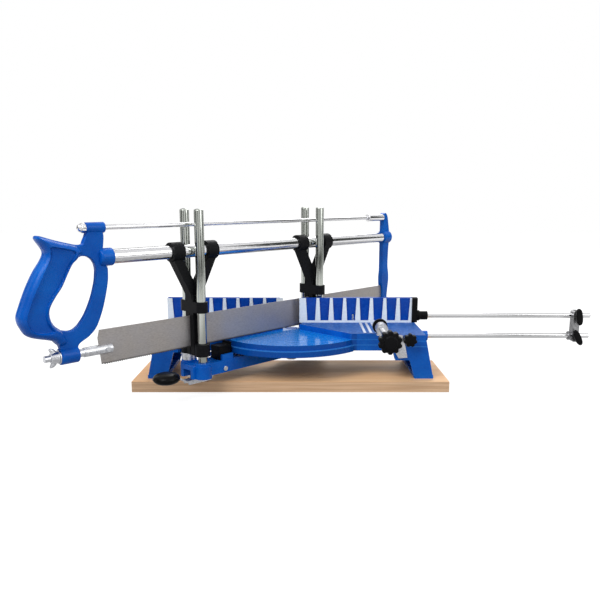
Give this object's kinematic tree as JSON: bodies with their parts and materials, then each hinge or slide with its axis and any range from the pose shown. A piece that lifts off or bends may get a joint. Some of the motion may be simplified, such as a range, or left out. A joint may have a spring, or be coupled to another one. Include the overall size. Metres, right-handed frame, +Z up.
{
  "type": "manual mitre saw",
  "caption": "Hand mitre saw on a board: cast base with fence and indexed quadrant, swinging arm with guide posts, framed saw in lifting carriages, work clamp and length stop.",
  "frame": {"origin": "underside of the board, straight below the swing axis", "axes": "+X along the fence to the length stop, +Y from the user to the back, +Z up"},
  "size_m": [0.7948, 0.4943, 0.266],
  "materials": {
    "wood": "plain board, sanded",
    "blue_paint": "gloss blue",
    "black_plastic": "moulded, satin",
    "black_casting": "satin black",
    "chrome": "bright plated",
    "zinc_steel": "zinc plated",
    "blade_steel": "ground steel"
  },
  "bodies": {
    "base": {"base_board": "wood", "base_casting": "blue_paint", "board_screws": "zinc_steel", "fence_left": "blue_paint", "fence_right": "blue_paint", "fence_screws": "zinc_steel", "fence_end_cap": "black_plastic", "rod_bush": "black_plastic", "upper_stop_rod": "chrome", "lower_stop_rod": "chrome", "rod_set_screws": "zinc_steel", "pivot_bolt": "zinc_steel", "pivot_washer": "zinc_steel", "pivot_nut": "zinc_steel", "clamp_bracket": "zinc_steel", "clamp_bolts": "zinc_steel"},
    "arm": {"swing_arm": "blue_paint", "post_front_near": "chrome", "post_front_far": "chrome", "post_rear_near": "chrome", "post_rear_far": "chrome", "post_bolts": "zinc_steel", "collar_front": "zinc_steel", "collar_rear": "zinc_steel", "lever_pin": "zinc_steel"},
    "lever": {"index_lever": "zinc_steel", "lever_pad": "black_plastic"},
    "pawl": {"index_pawl": "black_plastic"},
    "front_guide": {"front_carriage": "black_casting"},
    "rear_guide": {"rear_carriage": "black_casting"},
    "saw": {"saw_handle": "blue_paint", "saw_tube": "chrome", "tension_rod": "chrome", "rod_dome_nut": "chrome", "rod_sleeve_nut": "chrome", "far_arm": "blue_paint", "blade": "blade_steel", "blade_holder": "zinc_steel", "holder_pin": "zinc_steel", "far_pin": "zinc_steel", "stud_washer": "zinc_steel", "frame_screws": "zinc_steel"},
    "tension_nut": {"wing_nut": "zinc_steel"},
    "foot": {"clamp_foot": "black_plastic"},
    "screw": {"clamp_screw": "zinc_steel", "clamp_knob": "black_plastic"},
    "lock": {"clamp_lock_knob": "black_plastic"},
    "length_stop": {"stop_bar": "zinc_steel"},
    "thumb_upper": {"stop_screw_upper": "black_plastic"},
    "thumb_lower": {"stop_screw_lower": "black_plastic"}
  },
  "joints": [
    {"name": "arm_swing", "type": "hinge", "parent": "base", "child": "arm", "pos_m": [0, 0, 0.041], "axis": [0, 0, 1], "range_deg": [0, 67.5]},
    {"name": "front_lift", "type": "slide", "parent": "arm", "child": "front_guide", "axis": [0, 0, 1], "range_m": [0, 0.1]},
    {"name": "rear_lift", "type": "slide", "parent": "arm", "child": "rear_guide", "axis": [0, 0, 1], "range_m": [0, 0.1]},
    {"name": "saw_stroke", "type": "slide", "parent": "front_guide", "child": "saw", "axis": [0.7071, 0.7071, 0], "range_m": [-0.145, 0.08]},
    {"name": "tension_nut_turn", "type": "hinge", "parent": "saw", "child": "tension_nut", "pos_m": [-0.27577, -0.27577, 0.095], "axis": [0.7071, 0.7071, 0], "continuous": true},
    {"name": "lever_press", "type": "hinge", "parent": "arm", "child": "lever", "pos_m": [-0.10465, -0.10465, 0.038], "axis": [0.7071, -0.7071, 0], "range_deg": [0, 9], "stiffness_Nm_per_rad": 0.5, "springref_deg": -17.19},
    {"name": "pawl_draw", "type": "slide", "parent": "arm", "child": "pawl", "axis": [-0.7071, -0.7071, 0], "range_m": [0, 0.003]},
    {"name": "foot_advance", "type": "slide", "parent": "base", "child": "foot", "axis": [0, 1, 0], "range_m": [0, 0.064]},
    {"name": "screw_turn", "type": "hinge", "parent": "foot", "child": "screw", "pos_m": [0.132, -0.18, 0.094], "axis": [0, 1, 0], "range_deg": [-30, 5790]},
    {"name": "lock_turn", "type": "hinge", "parent": "base", "child": "lock", "pos_m": [0.174, -0.1, 0.077], "axis": [0, 1, 0], "continuous": true},
    {"name": "stop_slide", "type": "slide", "parent": "base", "child": "length_stop", "axis": [1, 0, 0], "range_m": [-0.2, 0.015]},
    {"name": "thumb_upper_turn", "type": "hinge", "parent": "length_stop", "child": "thumb_upper", "pos_m": [0.46, -0.01, 0.093], "axis": [0, 1, 0], "continuous": true},
    {"name": "thumb_lower_turn", "type": "hinge", "parent": "length_stop", "child": "thumb_lower", "pos_m": [0.46, -0.01, 0.0595], "axis": [0, 1, 0], "continuous": true}
  ],
  "couplings": [
    {"joint": "rear_lift", "follows": "front_lift", "ratio": 1},
    {"joint": "pawl_draw", "follows": "lever_press", "m_per_rad": 0.018},
    {"joint": "screw_turn", "follows": "foot_advance", "rad_per_m": 1570.8}
  ]
}
